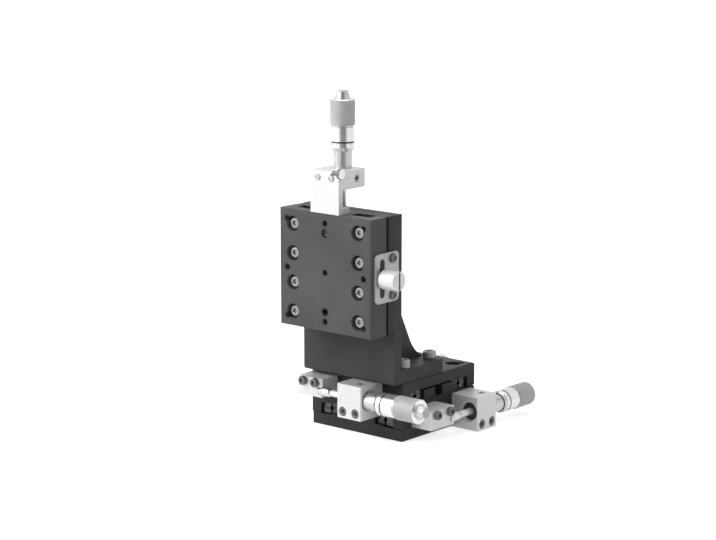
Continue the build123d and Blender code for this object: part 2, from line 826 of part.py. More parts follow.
def z_micrometer_bracket():
    """Clamp block on a flat post; a tongue behind the slide block's face carries it."""
    front = stage_height
    clamp_low = half + z_post_height
    clamp_high = clamp_low + z_clamp_height
    tongue_top = ceiling - z_tongue_gap
    with BuildPart() as bracket:
        with BuildSketch(z_frame.offset(front)):
            with Locations(((half + clamp_high) / 2, 0)):
                Rectangle(clamp_high - half, z_post_width)
        extrude(amount=-z_post_thickness)
        with BuildSketch(z_frame.offset(front)):
            with Locations(((clamp_low + clamp_high) / 2, 0)):
                Rectangle(z_clamp_height, z_post_width)
        extrude(amount=-(front + z_clamp_back))
        with BuildSketch(z_frame.offset(tongue_top)):
            with Locations((half - z_tongue_length / 2 + z_post_thickness / 2, 0)):
                Rectangle(z_tongue_length + z_post_thickness, z_post_width)
        extrude(amount=-z_tongue_thickness)
        with BuildSketch(z_frame.offset(front)):
            with Locations((half + z_post_thickness / 2, 0)):
                Rectangle(z_post_thickness, z_post_width)
        extrude(amount=-(front - tongue_top + z_tongue_thickness))
        with BuildSketch(cross_section(z_frame, clamp_high, 0, z_axis_from_mount)):
            Circle(stem_diameter / 2 + stem_fit)
        extrude(amount=-z_clamp_height, mode=Mode.SUBTRACT)
        set_screw_along = clamp_high - z_set_screw_drop
        mouth = place(z_frame, set_screw_along, -z_post_width / 2, z_axis_from_mount, -z_frame.y_dir)
        cut_hole(mouth, set_screw_diameter, z_post_width / 2)
        for seat in z_clamp_screw_seats():
            cut_hole(seat, z_clamp_screw_diameter, z_clamp_back + z_post_thickness)
        cut_hole(place(z_frame, z_tongue_screw, 0, tongue_top), z_tongue_screw_diameter, z_tongue_thickness)
    save(bracket, "z_micrometer_bracket")


def z_clamp_screw_seats():
    """Seats of the two small screws in the clamp block's front."""
    along = half + z_post_height + z_clamp_height - z_clamp_screw_drop
    return [place(z_frame, along, side * z_clamp_screw_spacing / 2, stage_height) for side in (-1, 1)]


# Build every sub-part

base_plate()
middle_block()
top_table()
z_fixed_plate()
z_slide_block()
angle_bracket()
z_micrometer_bracket()

seen_places = spread(rail_screws_per_rail, rail_screw_pitch)
buried_places = spread(buried_screws_per_rail, buried_screw_pitch)
for axis, frame, screw_places in (
    ("x", x_frame, seen_places),
    ("y", y_frame, buried_places),
    ("z", z_frame, seen_places),
):
    rails(axis, frame, screw_places)
    roller_cages(axis, frame)
    rail_screws(axis, frame, screw_places)

for axis, frame, pull in (("x", x_frame, 1), ("y", y_frame, 1), ("z", z_frame, -1)):
    spring(axis, frame, pull)

for axis, frame, start, tip_position in (
    ("x", x_frame, x_bracket_start, x_tip_position),
    ("y", y_frame, y_bracket_start, y_tip_position),
):
    side_bracket(axis, frame, start)
    tip = cross_section(frame, tip_position, -half - axis_offset, axis_height)
    back = start + bracket_length - tip_position
    micrometer(axis, tip, back, bracket_length - stem_recess)
    seat = place(frame, start + bracket_length - set_screw_from_back, -half - axis_offset, bracket_height)
    set_screw(f"{axis}_stem_set_screw", seat, bracket_height - axis_height - stem_diameter / 2 - stem_fit)

z_tip = cross_section(z_frame, half - z_tip_notch_depth + tip_gap, 0, z_axis_from_mount)
z_back = z_post_height + z_clamp_height + z_tip_notch_depth - tip_gap
micrometer("z", z_tip, z_back, z_clamp_height)
z_seat_along = half + z_post_height + z_clamp_height - z_set_screw_drop
z_seat = place(z_frame, z_seat_along, -z_post_width / 2, z_axis_from_mount, -z_frame.y_dir)
set_screw("z_stem_set_screw", z_seat, z_post_width / 2 - stem_diameter / 2 - stem_fit)

anvil("x", x_frame, x_anvil_start, x_anvil_length, x_tip_position)
anvil("y", y_frame, y_anvil_start, y_anvil_length, y_tip_position)

lock("x", x_frame, 1, lock_plate_low)
lock("y", y_frame, 1, lock_plate_low)
lock("z", z_frame, -1, z_lock_plate_low)

thread = side_screw_diameter - screw_clearance


def screws_in_side(frame, side, places, grip, head_height=side_head_height):
    """One group of side screws whose heads stand off from the block's side by the grip."""
    reach = grip + side_screw_reach - screw_clearance
    return side_seats(frame, side, places, grip), thread, side_head_diameter, head_height, reach


bracket_grip = bracket_depth - bracket_counterbore_depth
cap_screws("base_side_screws", [
    screws_in_side(y_frame, -1, bracket_screw_places(y_bracket_start), bracket_grip),
    screws_in_side(y_frame, 1, lock_screw_places(), lock_plate_thickness, lock_head_height),
])
cap_screws("middle_side_screws", [
    screws_in_side(x_frame, -1, bracket_screw_places(x_bracket_start), bracket_grip),
    screws_in_side(x_frame, 1, lock_screw_places(), lock_plate_thickness, lock_head_height),
    screws_in_side(y_frame, -1, anvil_screw_places(y_anvil_start, y_anvil_length), anvil_depth),
])
cap_screws("table_side_screws", [
    screws_in_side(x_frame, -1, anvil_screw_places(x_anvil_start, x_anvil_length), anvil_depth),
    screws_in_side(z_frame, -1, lock_screw_places(), lock_plate_thickness, lock_head_height),
])

tongue_seat = place(z_frame, z_tongue_screw, 0, stage_height - z_tongue_counterbore_depth)
tongue_reach = stage_height - z_tongue_counterbore_depth - ceiling + z_tongue_thickness - screw_clearance
tongue_thread = z_tongue_screw_diameter - screw_clearance
clamp_thread = z_clamp_screw_diameter - screw_clearance
cap_screws("z_bracket_screws", [
    ([tongue_seat], tongue_thread, z_tongue_head_diameter, z_tongue_head_height, tongue_reach),
    (z_clamp_screw_seats(), clamp_thread, z_clamp_head_diameter, z_clamp_head_height, z_post_thickness),
])

corner_seats = []
for along in (-hole_pitch / 2, hole_pitch / 2):
    for across in (-hole_pitch / 2, hole_pitch / 2):
        corner_seats.append(place(z_frame, along, across, plate_thickness - mount_counterbore_depth))
mount_thread = mount_screw_diameter - screw_clearance
foot_reach = foot_thickness + foot_screw_reach - screw_clearance
plate_reach = plate_thickness - mount_counterbore_depth + plate_screw_reach
recessed_height = mount_head_height - screw_clearance
cap_screws("angle_bracket_screws", [
    (foot_screw_seats(), mount_thread, mount_head_diameter, mount_head_height, foot_reach),
    (corner_seats, mount_thread, mount_head_diameter, recessed_height, plate_reach),
])
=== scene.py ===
import json
import math

import bmesh
import bpy
from mathutils import Matrix, Vector


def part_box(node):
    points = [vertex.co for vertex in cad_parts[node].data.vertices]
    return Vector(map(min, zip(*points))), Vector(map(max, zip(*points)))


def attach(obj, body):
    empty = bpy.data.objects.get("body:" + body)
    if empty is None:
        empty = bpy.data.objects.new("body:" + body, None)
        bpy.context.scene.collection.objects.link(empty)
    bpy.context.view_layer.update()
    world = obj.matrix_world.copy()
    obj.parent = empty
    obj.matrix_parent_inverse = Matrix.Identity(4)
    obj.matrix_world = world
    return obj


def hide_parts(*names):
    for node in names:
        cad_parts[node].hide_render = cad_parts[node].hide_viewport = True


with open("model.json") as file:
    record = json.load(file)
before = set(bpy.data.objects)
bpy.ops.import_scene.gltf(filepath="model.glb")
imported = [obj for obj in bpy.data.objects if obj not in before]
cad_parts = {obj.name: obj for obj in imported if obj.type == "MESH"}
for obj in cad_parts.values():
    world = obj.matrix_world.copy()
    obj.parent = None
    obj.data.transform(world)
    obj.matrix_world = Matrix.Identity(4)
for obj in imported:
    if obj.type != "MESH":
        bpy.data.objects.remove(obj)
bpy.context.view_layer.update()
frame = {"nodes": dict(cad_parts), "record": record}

MM = 0.001
WHITE = (1.0, 1.0, 1.0, 1.0)
scene = bpy.context.scene
scene.view_settings.view_transform = "Standard"

# Camera, fitted to the photograph's frame
CAMERA_PLACE = (0.7237, -0.8877, 0.3128)
CAMERA_TILT = 78.52
CAMERA_TURN = 40.12
CAMERA_LENS = 113.7
CAMERA_SENSOR = 36.0
CAMERA_CLIP = (0.01, 100.0)


def add_camera():
    data = bpy.data.cameras.new("camera")
    data.lens = CAMERA_LENS
    data.sensor_width = CAMERA_SENSOR
    data.sensor_fit = "HORIZONTAL"
    data.clip_start, data.clip_end = CAMERA_CLIP
    camera = bpy.data.objects.new("camera", data)
    camera.location = CAMERA_PLACE
    camera.rotation_euler = (math.radians(CAMERA_TILT), 0.0, math.radians(CAMERA_TURN))
    scene.collection.objects.link(camera)
    scene.camera = camera


# Light, floor and the glowing cards that only reflections see, all in metres; the cards light nothing and
# paint reflections
AIM = (0.0, -0.02, 0.07)
KEY_PLACE = (-0.7, -1.0, 0.8)
KEY_SIZE = (1.2, 1.1)
KEY_POWER = 14.5
TOP_PLACE = (0.0, 0.0, 1.3)
TOP_SIZE = (1.0, 1.0)
TOP_POWER = 4.0
WORLD_LIGHT = 0.42
BACKGROUND_WHITE = 1.0
FLOOR_REACH = 30.0
FLOOR_DROP = 0.0002
FLOOR_COLOUR = (0.8, 0.8, 0.8, 1.0)
FLOOR_GLOW = 0.66
CAMERA_CARD_CENTRE = (0.33, -0.36, 0.27)
CAMERA_CARD_SIZE = (0.6, 0.72)
CAMERA_CARD_SHADE = 0.09
CARD_LIFT = 0.001
FRONT_CARD_ENDS = ((-0.06, -0.04, CARD_LIFT), (0.06, -0.08, CARD_LIFT))
FRONT_CARD_WAY = (-0.643, -0.766, 0.0)
FRONT_CARD_SPAN = (0.2, 0.66)
FRONT_CARD_SHADE = 2.0


def add_area(name, place, size, power):
    data = bpy.data.lights.new(name, "AREA")
    data.shape = "RECTANGLE"
    data.size, data.size_y = size
    data.energy = power
    lamp = bpy.data.objects.new(name, data)
    lamp.location = place
    lamp.rotation_euler = (Vector(AIM) - Vector(place)).to_track_quat("-Z", "Y").to_euler()
    scene.collection.objects.link(lamp)


def background_rays(nodes, links):
    """1 for camera, glossy and transmission rays, which see the plain white background."""
    path = nodes.new("ShaderNodeLightPath")
    first = nodes.new("ShaderNodeMath")
    first.operation = "MAXIMUM"
    links.new(path.outputs["Is Camera Ray"], first.inputs[0])
    links.new(path.outputs["Is Glossy Ray"], first.inputs[1])
    second = nodes.new("ShaderNodeMath")
    second.operation = "MAXIMUM"
    links.new(first.outputs[0], second.inputs[0])
    links.new(path.outputs["Is Transmission Ray"], second.inputs[1])
    return second.outputs[0]


def build_world():
    world = bpy.data.worlds.new("studio")
    world.use_nodes = True
    scene.world = world
    nodes, links = world.node_tree.nodes, world.node_tree.links
    nodes.clear()
    output = nodes.new("ShaderNodeOutputWorld")
    mix = nodes.new("ShaderNodeMixShader")
    soft = nodes.new("ShaderNodeBackground")
    soft.inputs["Color"].default_value = WHITE
    soft.inputs["Strength"].default_value = WORLD_LIGHT
    white = nodes.new("ShaderNodeBackground")
    white.inputs["Color"].default_value = WHITE
    white.inputs["Strength"].default_value = BACKGROUND_WHITE
    links.new(background_rays(nodes, links), mix.inputs[0])
    links.new(soft.outputs[0], mix.inputs[1])
    links.new(white.outputs[0], mix.inputs[2])
    links.new(mix.outputs[0], output.inputs["Surface"])


def add_sheet(name, corners):
    """An object of one face with an empty material, and that material's nodes and links."""
    mesh = bpy.data.meshes.new(name)
    mesh.from_pydata(corners, [], [(0, 1, 2, 3)])
    sheet = bpy.data.objects.new(name, mesh)
    scene.collection.objects.link(sheet)
    material = bpy.data.materials.new(name)
    material.use_nodes = True
    material.node_tree.nodes.clear()
    mesh.materials.append(material)
    return sheet, material.node_tree.nodes, material.node_tree.links


def build_floor():
    reach = FLOOR_REACH
    corners = [(-reach, -reach, 0), (reach, -reach, 0), (reach, reach, 0), (-reach, reach, 0)]
    floor, nodes, links = add_sheet("floor", corners)
    floor.location.z = -FLOOR_DROP
    output = nodes.new("ShaderNodeOutputMaterial")
    diffuse = nodes.new("ShaderNodeBsdfDiffuse")
    diffuse.inputs["Color"].default_value = FLOOR_COLOUR
    glow = nodes.new("ShaderNodeEmission")
    strength = nodes.new("ShaderNodeMath")
    strength.operation = "MULTIPLY"
    strength.inputs[1].default_value = FLOOR_GLOW
    links.new(background_rays(nodes, links), strength.inputs[0])
    links.new(strength.outputs[0], glow.inputs["Strength"])
    add = nodes.new("ShaderNodeAddShader")
    links.new(diffuse.outputs[0], add.inputs[0])
    links.new(glow.outputs[0], add.inputs[1])
    links.new(add.outputs[0], output.inputs["Surface"])


def standing(centre, width, height):
    """Corners of an upright card that faces the object."""
    centre = Vector(centre)
    across = Vector((-centre.y, centre.x, 0.0)).normalized() * width / 2
    up = Vector((0.0, 0.0, height / 2))
    return [centre - across - up, centre + across - up, centre + across + up, centre - across + up]


def lying(ends, way, span):
    """Corners of a card on the floor: the line between two ends, drawn out over a span of the way."""
    first, second = Vector(ends[0]), Vector(ends[1])
    way = Vector(way).normalized()
    near, far = way * span[0], way * span[1]
    return [first + near, second + near, second + far, first + far]


def add_card(name, corners, shade):
    """A glowing studio card that only reflections see: it lights nothing and paints a reflection as bright as
    its shade.
    """
    card, nodes, links = add_sheet(name, corners)
    output = nodes.new("ShaderNodeOutputMaterial")
    glow = nodes.new("ShaderNodeEmission")
    glow.inputs["Color"].default_value = WHITE
    glow.inputs["Strength"].default_value = shade
    links.new(glow.outputs[0], output.inputs["Surface"])
    card.visible_camera = False
    card.visible_diffuse = False
    card.visible_transmission = False
    card.visible_shadow = False


add_camera()
build_world()
build_floor()
add_area("key", KEY_PLACE, KEY_SIZE, KEY_POWER)
add_area("top", TOP_PLACE, TOP_SIZE, TOP_POWER)
# Painted reflections: the camera card paints the chrome's dark stripe; the front card, glowing at 2, paints a
# bright sheen on the front faces
add_card("camera_card", standing(CAMERA_CARD_CENTRE, *CAMERA_CARD_SIZE), CAMERA_CARD_SHADE)
add_card("front_card", lying(FRONT_CARD_ENDS, FRONT_CARD_WAY, FRONT_CARD_SPAN), FRONT_CARD_SHADE)

# Materials: the part of a noise's 0 to 1 that is stretched over a number's or a colour's whole range
NUMBER_RANGE = (0.3, 0.7)
COLOUR_RANGE = (0.35, 0.65)


class Shader:
    """A principled material whose nodes are added one at a time."""

    def __init__(self, name, colour, roughness, metallic=0.0, gloss=0.5):
        self.material = bpy.data.materials.new(name)
        self.material.use_nodes = True
        self.nodes = self.material.node_tree.nodes
        self.links = self.material.node_tree.links
        self.shader = self.nodes["Principled BSDF"]
        self.shader.inputs["Base Color"].default_value = (*colour, 1.0)
        self.shader.inputs["Roughness"].default_value = roughness
        self.shader.inputs["Metallic"].default_value = metallic
        self.shader.inputs["Specular IOR Level"].default_value = gloss
        self.coordinates = self.nodes.new("ShaderNodeTexCoord").outputs["Object"]
        self.normal = None

    def noise(self, scale, detail, stretch=(1.0, 1.0, 1.0)):
        """Noise with about `scale` features a millimetre, made finer along the axes by stretch."""
        mapping = self.nodes.new("ShaderNodeMapping")
        mapping.inputs["Scale"].default_value = tuple(scale / MM * factor for factor in stretch)
        self.links.new(self.coordinates, mapping.inputs["Vector"])
        texture = self.nodes.new("ShaderNodeTexNoise")
        texture.inputs["Scale"].default_value = 1.0
        texture.inputs["Detail"].default_value = detail
        self.links.new(mapping.outputs[0], texture.inputs["Vector"])
        return texture.outputs["Fac"]

    def vary_colour(self, value, dark, light):
        ramp = self.nodes.new("ShaderNodeValToRGB")
        first, last = ramp.color_ramp.elements
        first.position, last.position = COLOUR_RANGE
        first.color = (*dark, 1.0)
        last.color = (*light, 1.0)
        self.links.new(value, ramp.inputs["Fac"])
        self.links.new(ramp.outputs["Color"], self.shader.inputs["Base Color"])

    def vary_roughness(self, value, low, high):
        span = self.nodes.new("ShaderNodeMapRange")
        span.inputs["From Min"].default_value, span.inputs["From Max"].default_value = NUMBER_RANGE
        span.inputs["To Min"].default_value = low
        span.inputs["To Max"].default_value = high
        self.links.new(value, span.inputs["Value"])
        self.links.new(span.outputs["Result"], self.shader.inputs["Roughness"])

    def bump(self, value, height, strength):
        """Relief of the given height in millimetres, on top of any relief added before."""
        node = self.nodes.new("ShaderNodeBump")
        node.inputs["Strength"].default_value = strength
        node.inputs["Distance"].default_value = height * MM
        self.links.new(value, node.inputs["Height"])
        if self.normal is not None:
            self.links.new(self.normal, node.inputs["Normal"])
        self.normal = node.outputs["Normal"]
        self.links.new(self.normal, self.shader.inputs["Normal"])


def grey(value, tint=0.0):
    return (value, value, value + tint)


def black_anodised(name="black_anodised", value=0.036, gloss=0.16):
    made = Shader(name, grey(value), roughness=0.42, gloss=gloss)
    made.vary_colour(made.noise(0.05, 4.0), grey(value * 0.9, 0.001), grey(value * 1.1, 0.001))
    made.vary_roughness(made.noise(0.4, 4.0), 0.38, 0.48)
    made.bump(made.noise(4.0, 2.0), height=0.01, strength=0.35)
    made.bump(made.noise(0.6, 2.0, stretch=(1.0, 1.0, 12.0)), height=0.004, strength=0.2)
    return made.material


def silver_anodised():
    made = Shader("silver_anodised", grey(0.78), roughness=0.42, metallic=0.3, gloss=0.4)
    made.vary_colour(made.noise(0.08, 3.0), grey(0.76, 0.003), grey(0.8, 0.003))
    made.vary_roughness(made.noise(0.5, 4.0), 0.34, 0.48)
    made.bump(made.noise(3.0, 2.0), height=0.008, strength=0.3)
    return made.material


def satin_chrome(name="satin_chrome", value=0.78, roughness=0.26, metallic=0.8):
    made = Shader(name, grey(value), roughness, metallic)
    made.vary_colour(made.noise(0.2, 3.0), grey(value - 0.02, 0.003), grey(value + 0.02, 0.003))
    made.vary_roughness(made.noise(0.3, 2.0), roughness - 0.02, roughness + 0.02)
    return made.material


def ground_steel(name="ground_steel", value=0.6):
    made = Shader(name, grey(value), roughness=0.3, metallic=1.0)
    made.vary_colour(made.noise(0.3, 3.0), grey(value - 0.06, 0.003), grey(value + 0.06, 0.003))
    made.vary_roughness(made.noise(1.5, 4.0), 0.25, 0.4)
    made.bump(made.noise(5.0, 2.0), height=0.004, strength=0.25)
    return made.material


def screw_steel(name, value, metallic=0.6):
    made = Shader(name, grey(value), roughness=0.48, metallic=metallic)
    made.vary_colour(made.noise(0.6, 3.0), grey(value * 0.85, 0.002), grey(value * 1.15, 0.002))
    made.vary_roughness(made.noise(2.0, 4.0), 0.42, 0.56)
    made.bump(made.noise(6.0, 2.0), height=0.006, strength=0.3)
    return made.material


def cage_brass():
    made = Shader("cage_brass", (0.72, 0.57, 0.3), roughness=0.35, metallic=1.0)
    made.vary_colour(made.noise(0.4, 3.0), (0.62, 0.47, 0.23), (0.78, 0.62, 0.34))
    made.vary_roughness(made.noise(1.5, 4.0), 0.3, 0.45)
    return made.material


def black_ink():
    made = Shader("black_ink", grey(0.03), roughness=0.6)
    made.vary_colour(made.noise(1.0, 3.0), grey(0.02), grey(0.05))
    made.vary_roughness(made.noise(2.0, 3.0), 0.5, 0.7)
    return made.material


BLACK = black_anodised()
# The slide block's and the angle bracket's blacks are lighter copies of the one black anodise: painted light,
# for the stronger light on these pieces
LIT_FACE_BLACK = black_anodised("face_black_anodised_painted_light", value=0.105, gloss=0.08)
# Near black for painted shadow in the joint between the slide block and the fixed plate
SHADOW_GAP_BLACK = black_anodised("painted_shadow_gap_black", value=0.008, gloss=0.02)
LIT_BRACKET_BLACK = black_anodised("bracket_black_anodised_painted_light", value=0.066, gloss=0.08)
LOCK_METAL = satin_chrome("lock_plate_steel", value=0.42, roughness=0.42, metallic=0.5)
CHROME = satin_chrome()
GRIP = satin_chrome("grip_chrome", value=0.48, roughness=0.5, metallic=0.3)
STEM_METAL = satin_chrome("stem_chrome", value=0.58, roughness=0.34, metallic=0.75)
# The rails' steel is made near black: painted shade for the rails deep in their channels
RAIL_IN_PAINTED_SHADE = ground_steel("rail_steel_painted_shade", value=0.08)
SPINDLE = satin_chrome("spindle_chrome", value=0.8, roughness=0.36, metallic=0.5)
SCREW = screw_steel("screw_steel", value=0.36)
DARK_SCREW = screw_steel("dark_screw_steel", value=0.17)
PALE_SCREW = screw_steel("pale_screw_steel", value=0.6, metallic=0.4)
SPRING = ground_steel("spring_steel", value=0.5)
# Black for the printed scales and numbers, and also painted shade: the thimbles' bores, front faces and
# grooves, the brackets' bores, the knob slots and a line on the clamp's face
PRINT_AND_SHADE_BLACK = black_ink()

# The CAD nodes: finish and broken edges
SLOT_FINISHES = {
    "black_anodised": BLACK,
    "silver_anodised": silver_anodised(),
    "satin_chrome": CHROME,
    "ground_steel": ground_steel(),
    "stainless_screw": SCREW,
    "cage_brass": cage_brass(),
    "spring_steel": SPRING,
}
# The slide block and the angle bracket take the lit copies of black anodise: painted light
NODE_FINISHES = {"z_slide_block": LIT_FACE_BLACK, "angle_bracket": LIT_BRACKET_BLACK}
ENDING_FINISHES = {"_rails": RAIL_IN_PAINTED_SHADE, "_spindle": SPINDLE, "_lock_plate": LOCK_METAL}
SLOT_BREAKS = {"silver_anodised": 0.3, "black_anodised": 0.22, "ground_steel": 0.1, "cage_brass": 0.0}
NODE_BREAKS = {"z_fixed_plate": 0.5, "base_plate": 0.4}
OTHER_BREAK = 0.12
WELD_DISTANCE = 0.000002
FLAT_ANGLE = 0.5
CORNER_ANGLE = 40.0
slot_of = {part["node"]: part["material_slot"] for part in frame["record"]["subparts"]}


def node_finish(name):
    """A node's own finish, else the one for its name's ending, else the one for its material slot."""
    for ending, finish in ENDING_FINISHES.items():
        if name.endswith(ending):
            return finish
    return NODE_FINISHES.get(name, SLOT_FINISHES[slot_of[name]])


def break_edges(node, width):
    """Small bevels on a CAD node's edges, by modifiers only."""
    weld = node.modifiers.new("weld", "WELD")
    weld.merge_threshold = WELD_DISTANCE
    flat = node.modifiers.new("flat", "DECIMATE")
    flat.decimate_type = "DISSOLVE"
    flat.angle_limit = math.radians(FLAT_ANGLE)
    bevel = node.modifiers.new("bevel", "BEVEL")
    bevel.width = width * MM
    bevel.segments = 2
    bevel.limit_method = "ANGLE"
    bevel.angle_limit = math.radians(CORNER_ANGLE)
    bevel.harden_normals = True


for node_name, node in frame["nodes"].items():
    node.data.materials.clear()
    node.data.materials.append(node_finish(node_name))
    edge_break = NODE_BREAKS.get(node_name, SLOT_BREAKS.get(slot_of[node_name], OTHER_BREAK))
    if edge_break > 0:
        break_edges(node, edge_break)

# Mesh building in millimetres
SCENE_SCALE = Matrix.Scale(MM, 4)
FINE = 96
COARSE = 64
MERGE = 0.0001


def turned(origin, outward):
    """The place of a piece whose local z points outward from an origin."""
    turn = Vector(outward).to_track_quat("Z", "Y").to_matrix()
    return Matrix.Translation(Vector(origin)) @ turn.to_4x4()


def axis_frame(origin, along, up):
    """Local z along the axis and local x towards `up`, from millimetres to the scene's metres."""
    turn = Matrix((up, along.cross(up), along)).transposed()
    return Matrix.Translation(origin * MM) @ turn.to_4x4() @ SCENE_SCALE


def add_lathe(bm, rings, segments, place=Matrix(), material=0):
    """Rings of (radius, along) about local z; a radius may be a function of the angle, and 0 is one point."""
    made = []
    for radius, along in rings:
        if radius == 0:
            made.append([bm.verts.new(place @ Vector((0.0, 0.0, along)))])
            continue
        ring = []
        for index in range(segments):
            angle = 2 * math.pi * index / segments
            reach = radius(angle) if callable(radius) else radius
            point = Vector((reach * math.cos(angle), reach * math.sin(angle), along))
            ring.append(bm.verts.new(place @ point))
        made.append(ring)
    for low, high in zip(made, made[1:]):
        for index in range(segments):
            after = (index + 1) % segments
            corners = [
                low[index % len(low)], low[after % len(low)],
                high[after % len(high)], high[index % len(high)],
            ]
            face = bm.faces.new(list(dict.fromkeys(corners)))
            face.material_index = material


def hexagon(across_corners):
    """A hexagon's radius at an angle."""
    inner = across_corners / 2 * math.cos(math.pi / 6)
    return lambda angle: inner / math.cos((angle + math.pi / 6) % (math.pi / 3) - math.pi / 6)


def fluted(radius, depth, count):
    """A circle's radius with fine straight flutes."""
    return lambda angle: radius - depth * (0.5 - 0.5 * math.cos(count * angle))


def add_grid(bm, rings, material=0):
    """Faces between neighbouring rings of the same number of corners."""
    for low, high in zip(rings, rings[1:]):
        for index in range(len(low)):
            after = (index + 1) % len(low)
            face = bm.faces.new([low[index], low[after], high[after], high[index]])
            face.material_index = material


def add_knurl(bm, radius, start, end, teeth, depth, material):
    """Diamond knurling: small pyramids between two sets of crossing grooves, fading out at both ends."""
    samples = 4
    fade_length = 0.5
    columns = teeth * samples
    step = 2 * math.pi * radius / columns
    rows = round((end - start) / step)
    made = []
    for row in range(rows + 1):
        along = start + (end - start) * row / rows
        fade = min(1.0, (along - start) / fade_length, (end - along) / fade_length)
        ring = []
        for column in range(columns):
            turns, climb = column / samples, row / samples
            crossing = min(1 - abs(2 * ((turns + way * climb) % 1.0) - 1) for way in (-1, 1))
            reach = radius - depth * (1.0 - crossing) * fade
            angle = 2 * math.pi * column / columns
            ring.append(bm.verts.new((reach * math.cos(angle), reach * math.sin(angle), along)))
        made.append(ring)
    add_grid(bm, made, material)


def add_line(bm, angle, width, near, far):
    """A filled mark on a round surface, from one (radius, along) point to another."""
    step_length = 0.4
    steps = max(1, round(abs(width) / step_length))
    pairs = []
    for step in range(steps + 1):
        turn = angle + width * (step / steps - 0.5) / near[0]
        points = [(radius * math.cos(turn), radius * math.sin(turn), along) for radius, along in (near, far)]
        pairs.append([bm.verts.new(point) for point in points])
    for low, high in zip(pairs, pairs[1:]):
        bm.faces.new([low[0], high[0], high[1], low[1]])


def add_number(bm, text, height, radius, angle, along):
    """A number wrapped on a round surface, its baseline along the axis."""
    data = bpy.data.curves.new("number", "FONT")
    data.body = text
    data.size = height
    data.align_x = "CENTER"
    data.align_y = "CENTER"
    data.resolution_u = 3
    holder = bpy.data.objects.new("number", data)
    scene.collection.objects.link(holder)
    bpy.context.view_layer.update()
    mesh = bpy.data.meshes.new_from_object(holder.evaluated_get(bpy.context.evaluated_depsgraph_get()))
    verts = []
    for vertex in mesh.vertices:
        turn = angle - vertex.co.y / radius
        point = (radius * math.cos(turn), radius * math.sin(turn), along + vertex.co.x)
        verts.append(bm.verts.new(point))
    for polygon in mesh.polygons:
        bm.faces.new([verts[index] for index in polygon.vertices])
    bpy.data.meshes.remove(mesh)
    bpy.data.objects.remove(holder)
    bpy.data.curves.remove(data)


def add_tube(bm, points, radius, sides):
    """A wire along a line of points, closed at its ends."""
    points = [Vector(point) for point in points]
    up = Vector((0.0, 0.0, 1.0))
    turns = [2 * math.pi * corner / sides for corner in range(sides)]
    rings = []
    for index, point in enumerate(points):
        ahead = points[min(index + 1, len(points) - 1)] - points[max(index - 1, 0)]
        ahead.normalize()
        up = up - ahead * up.dot(ahead)
        if up.length < 0.001:
            up = ahead.orthogonal()
        up.normalize()
        side = ahead.cross(up)
        spokes = [(up * math.cos(turn) + side * math.sin(turn)) * radius for turn in turns]
        rings.append([bm.verts.new(point + spoke) for spoke in spokes])
    add_grid(bm, rings)
    bm.faces.new(list(reversed(rings[0])))
    bm.faces.new(rings[-1])


def finish_piece(bm, name, place, body, finishes, replaced=(), sharp=35.0):
    """Turn a bmesh in millimetres into a piece that rides on a body."""
    bmesh.ops.transform(bm, matrix=place, verts=bm.verts)
    bmesh.ops.recalc_face_normals(bm, faces=bm.faces)
    mesh = bpy.data.meshes.new(name)
    bm.to_mesh(mesh)
    bm.free()
    mesh.polygons.foreach_set("use_smooth", [True] * len(mesh.polygons))
    mesh.set_sharp_from_angle(angle=math.radians(sharp))
    for finish in finishes:
        mesh.materials.append(finish)
    piece = bpy.data.objects.new(name, mesh)
    scene.collection.objects.link(piece)
    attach(piece, body)
    if replaced:
        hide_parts(*replaced)


RIGHT, LEFT = Vector((1, 0, 0)), Vector((-1, 0, 0))
BACK, FRONT = Vector((0, 1, 0)), Vector((0, -1, 0))
UP = Vector((0, 0, 1))
AXES = {"x": RIGHT, "y": BACK, "z": UP}
BODY_OF = {part: body for body, parts in frame["record"]["behaviour"]["bodies"].items() for part in parts}


def box_of(node):
    """A node's lowest and highest corner in millimetres."""
    return [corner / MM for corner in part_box(node)]


# Micrometer heads: sleeve, thimble and their scales; places along the axis start at the thimble's front
STEM = 4.65
STEM_BORE = 1.8
STEM_CHAMFER = 0.6
STEM_EDGE = 0.1
THIMBLE_INSIDE = 4.75
THIMBLE_BORE_DEPTH = 8.0
THIMBLE_EDGE = 5.05
THIMBLE_LIP = (THIMBLE_EDGE + 0.06, 0.08)
THIMBLE = 5.85
BEVEL = 1.6
BEVEL_SOFTNESS = 0.05
GROOVE_AT = 4.4
GROOVE_WIDTH = 0.8
GROOVE_DEPTH = 0.35
GROOVE_SLOPE = 0.12
GRIP_START = 12.6
GRIP_RADIUS = 6.2
GRIP_SHOULDER = 0.45
NECK_DEPTH = 0.35
KNURL_TEETH = 44
KNURL_DEPTH = 0.16
THIMBLE_END = 25.8
CAP_BASE = 3.7
CAP_TOP = 2.7
CAP_LENGTH = 4.0
CAP_RECESS = 0.25
CAP_RIM = (CAP_BASE + 0.1, THIMBLE_END - CAP_RECESS)
THIMBLE_SHARP = 22.0
TURN_DIVISIONS = 50
NUMBERED_DIVISION = 5
SCALE_TRAVEL = 13.0
INK_LIFT = 0.012
# A black ring of painted shade in the x and y brackets' bores
BORE_SHADE_INSIDE = 1.85
BORE_SHADE_OUTSIDE = 4.6
BORE_SHADE_THICKNESS = 4.2
BORE_SHADE_DROP = 0.05
SCALE_SIDES = {"x": Vector((0, -0.77, 0.64)), "y": Vector((0.77, 0, 0.64)), "z": Vector((0.2, -0.98, 0))}
SHADED_BORE_AXES = ("x", "y")


